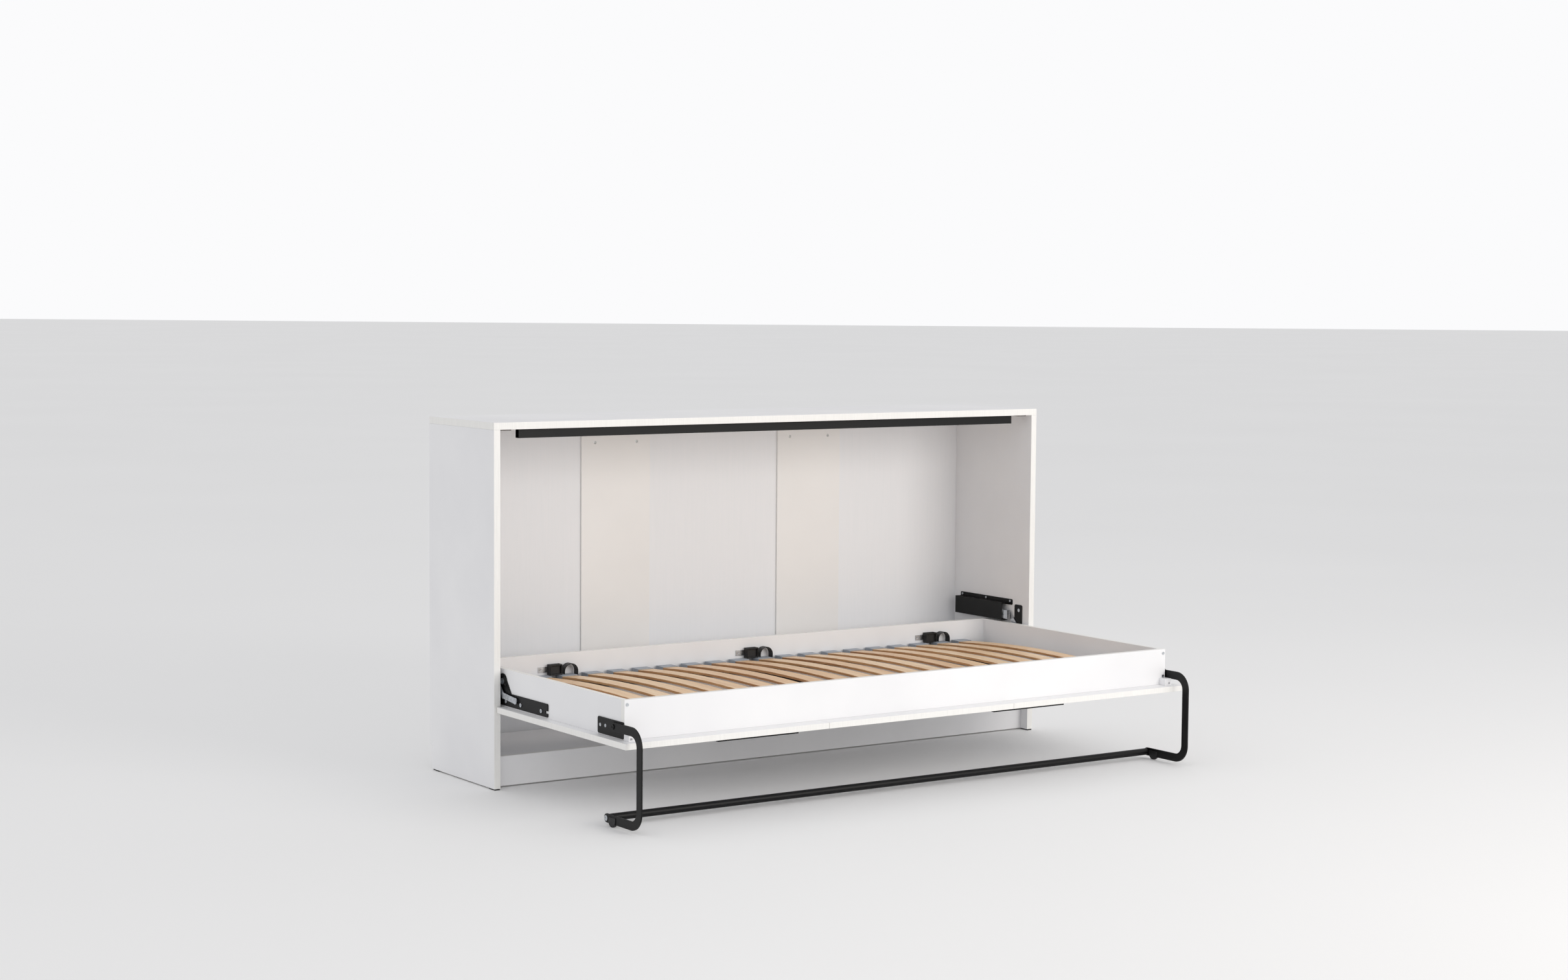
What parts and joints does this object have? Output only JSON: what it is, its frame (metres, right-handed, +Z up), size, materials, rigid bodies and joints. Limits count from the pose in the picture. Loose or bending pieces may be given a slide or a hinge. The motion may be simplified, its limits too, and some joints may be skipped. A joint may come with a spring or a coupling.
{
  "type": "wall bed",
  "caption": "Horizontal single wall bed: white cabinet, fold-down box with sprung beech slats, steel hinges with spring housings, fold-away tube leg and webbing straps.",
  "frame": {"origin": "middle of the bounding box on the floor plane, bed folded down", "axes": "+X along the bed to the right seen from the room, +Y towards the wall, +Z up"},
  "size_m": [2.11, 1.2476, 1.1196],
  "materials": {
    "white_board": "white melamine faced board with matching edging",
    "back_sheet": "thin fibreboard sheet with a white lacquered face",
    "black_steel": "fine satin black powder coat",
    "zinc": "bright zinc plated steel",
    "beech": "beech veneer slat, clear lacquer",
    "grey_plastic": "moulded grey plastic",
    "black_plastic": "moulded black plastic",
    "white_plastic": "moulded white plastic",
    "grey_plate": "grey-brown painted steel",
    "webbing": "woven black polyester webbing"
  },
  "bodies": {
    "cabinet": {"side_panel_left": "white_board", "side_panel_right": "white_board", "top_panel": "white_board", "bottom_panel": "white_board", "plinth_front": "white_board", "back_batten_left": "white_board", "back_batten_right": "white_board", "back_sheet_left": "back_sheet", "back_sheet_centre": "back_sheet", "back_sheet_right": "back_sheet", "top_stiffener": "black_steel", "catch_plates": "grey_plate", "glide_pads": "black_plastic", "cabinet_screws": "zinc", "spring_housing_left": "black_steel", "spring_housing_right": "black_steel", "hinge_plate_left": "black_steel", "hinge_plate_right": "black_steel", "lift_springs_left": "zinc", "lift_springs_right": "zinc"},
    "bed": {"front_rail": "white_board", "rear_rail": "white_board", "end_board_left": "white_board", "end_board_right": "white_board", "door_panel_left": "white_board", "door_panel_centre": "white_board", "door_panel_right": "white_board", "handle_left": "black_steel", "handle_right": "black_steel", "frame_rail_rear": "black_steel", "frame_rail_front": "black_steel", "frame_cross_bars": "black_steel", "slat_bank_1": "beech", "slat_bank_2": "beech", "slat_bank_3": "beech", "slat_bank_4": "beech", "slat_bank_5": "beech", "slat_caps_rear": "grey_plastic", "slat_caps_front": "grey_plastic", "hinge_arm_left": "black_steel", "hinge_arm_right": "black_steel", "hinge_bushes": "zinc", "leg_plate_left": "black_steel", "leg_plate_right": "black_steel", "strap_anchors": "zinc", "strap_buckles": "black_plastic", "strap_left": "webbing", "strap_middle": "webbing", "strap_right": "webbing", "corner_clips": "white_plastic", "bed_screws": "zinc"},
    "leg": {"leg_arm_left": "black_steel", "leg_arm_right": "black_steel", "leg_crossbar": "black_steel", "leg_feet": "black_plastic", "leg_bolts": "zinc"},
    "link_left": {"link_left": "zinc"},
    "link_right": {"link_right": "zinc"},
    "rod_left": {"pull_rod_left": "zinc"},
    "rod_right": {"pull_rod_right": "zinc"}
  },
  "joints": [
    {"name": "bed_fold", "type": "hinge", "parent": "cabinet", "child": "bed", "pos_m": [0, 0.2408, 0.306], "axis": [1, 0, 0], "range_deg": [-86.8, 0]},
    {"name": "leg_fold", "type": "hinge", "parent": "bed", "child": "leg", "pos_m": [0, -0.4678, 0.289], "axis": [1, 0, 0], "range_deg": [-188, 0]},
    {"name": "link_left_turn", "type": "hinge", "parent": "bed", "child": "link_left", "pos_m": [-1.028, 0.1098, 0.284], "axis": [1, 0, 0], "range_deg": [0, 46.17]},
    {"name": "rod_left_slide", "type": "slide", "parent": "cabinet", "child": "rod_left", "axis": [0, 1, 0], "range_m": [0, 0.1325], "deforming": ["lift_springs_left"]},
    {"name": "link_right_turn", "type": "hinge", "parent": "bed", "child": "link_right", "pos_m": [1.028, 0.1098, 0.284], "axis": [1, 0, 0], "range_deg": [0, 46.17]},
    {"name": "rod_right_slide", "type": "slide", "parent": "cabinet", "child": "rod_right", "axis": [0, 1, 0], "range_m": [0, 0.1325], "deforming": ["lift_springs_right"]}
  ],
  "couplings": [
    {"joint": "link_left_turn", "follows": "bed_fold", "ratio": -0.53077},
    {"joint": "rod_left_slide", "follows": "bed_fold", "m_per_rad": -0.087338},
    {"joint": "link_right_turn", "follows": "bed_fold", "ratio": -0.53077},
    {"joint": "rod_right_slide", "follows": "bed_fold", "m_per_rad": -0.087338}
  ]
}
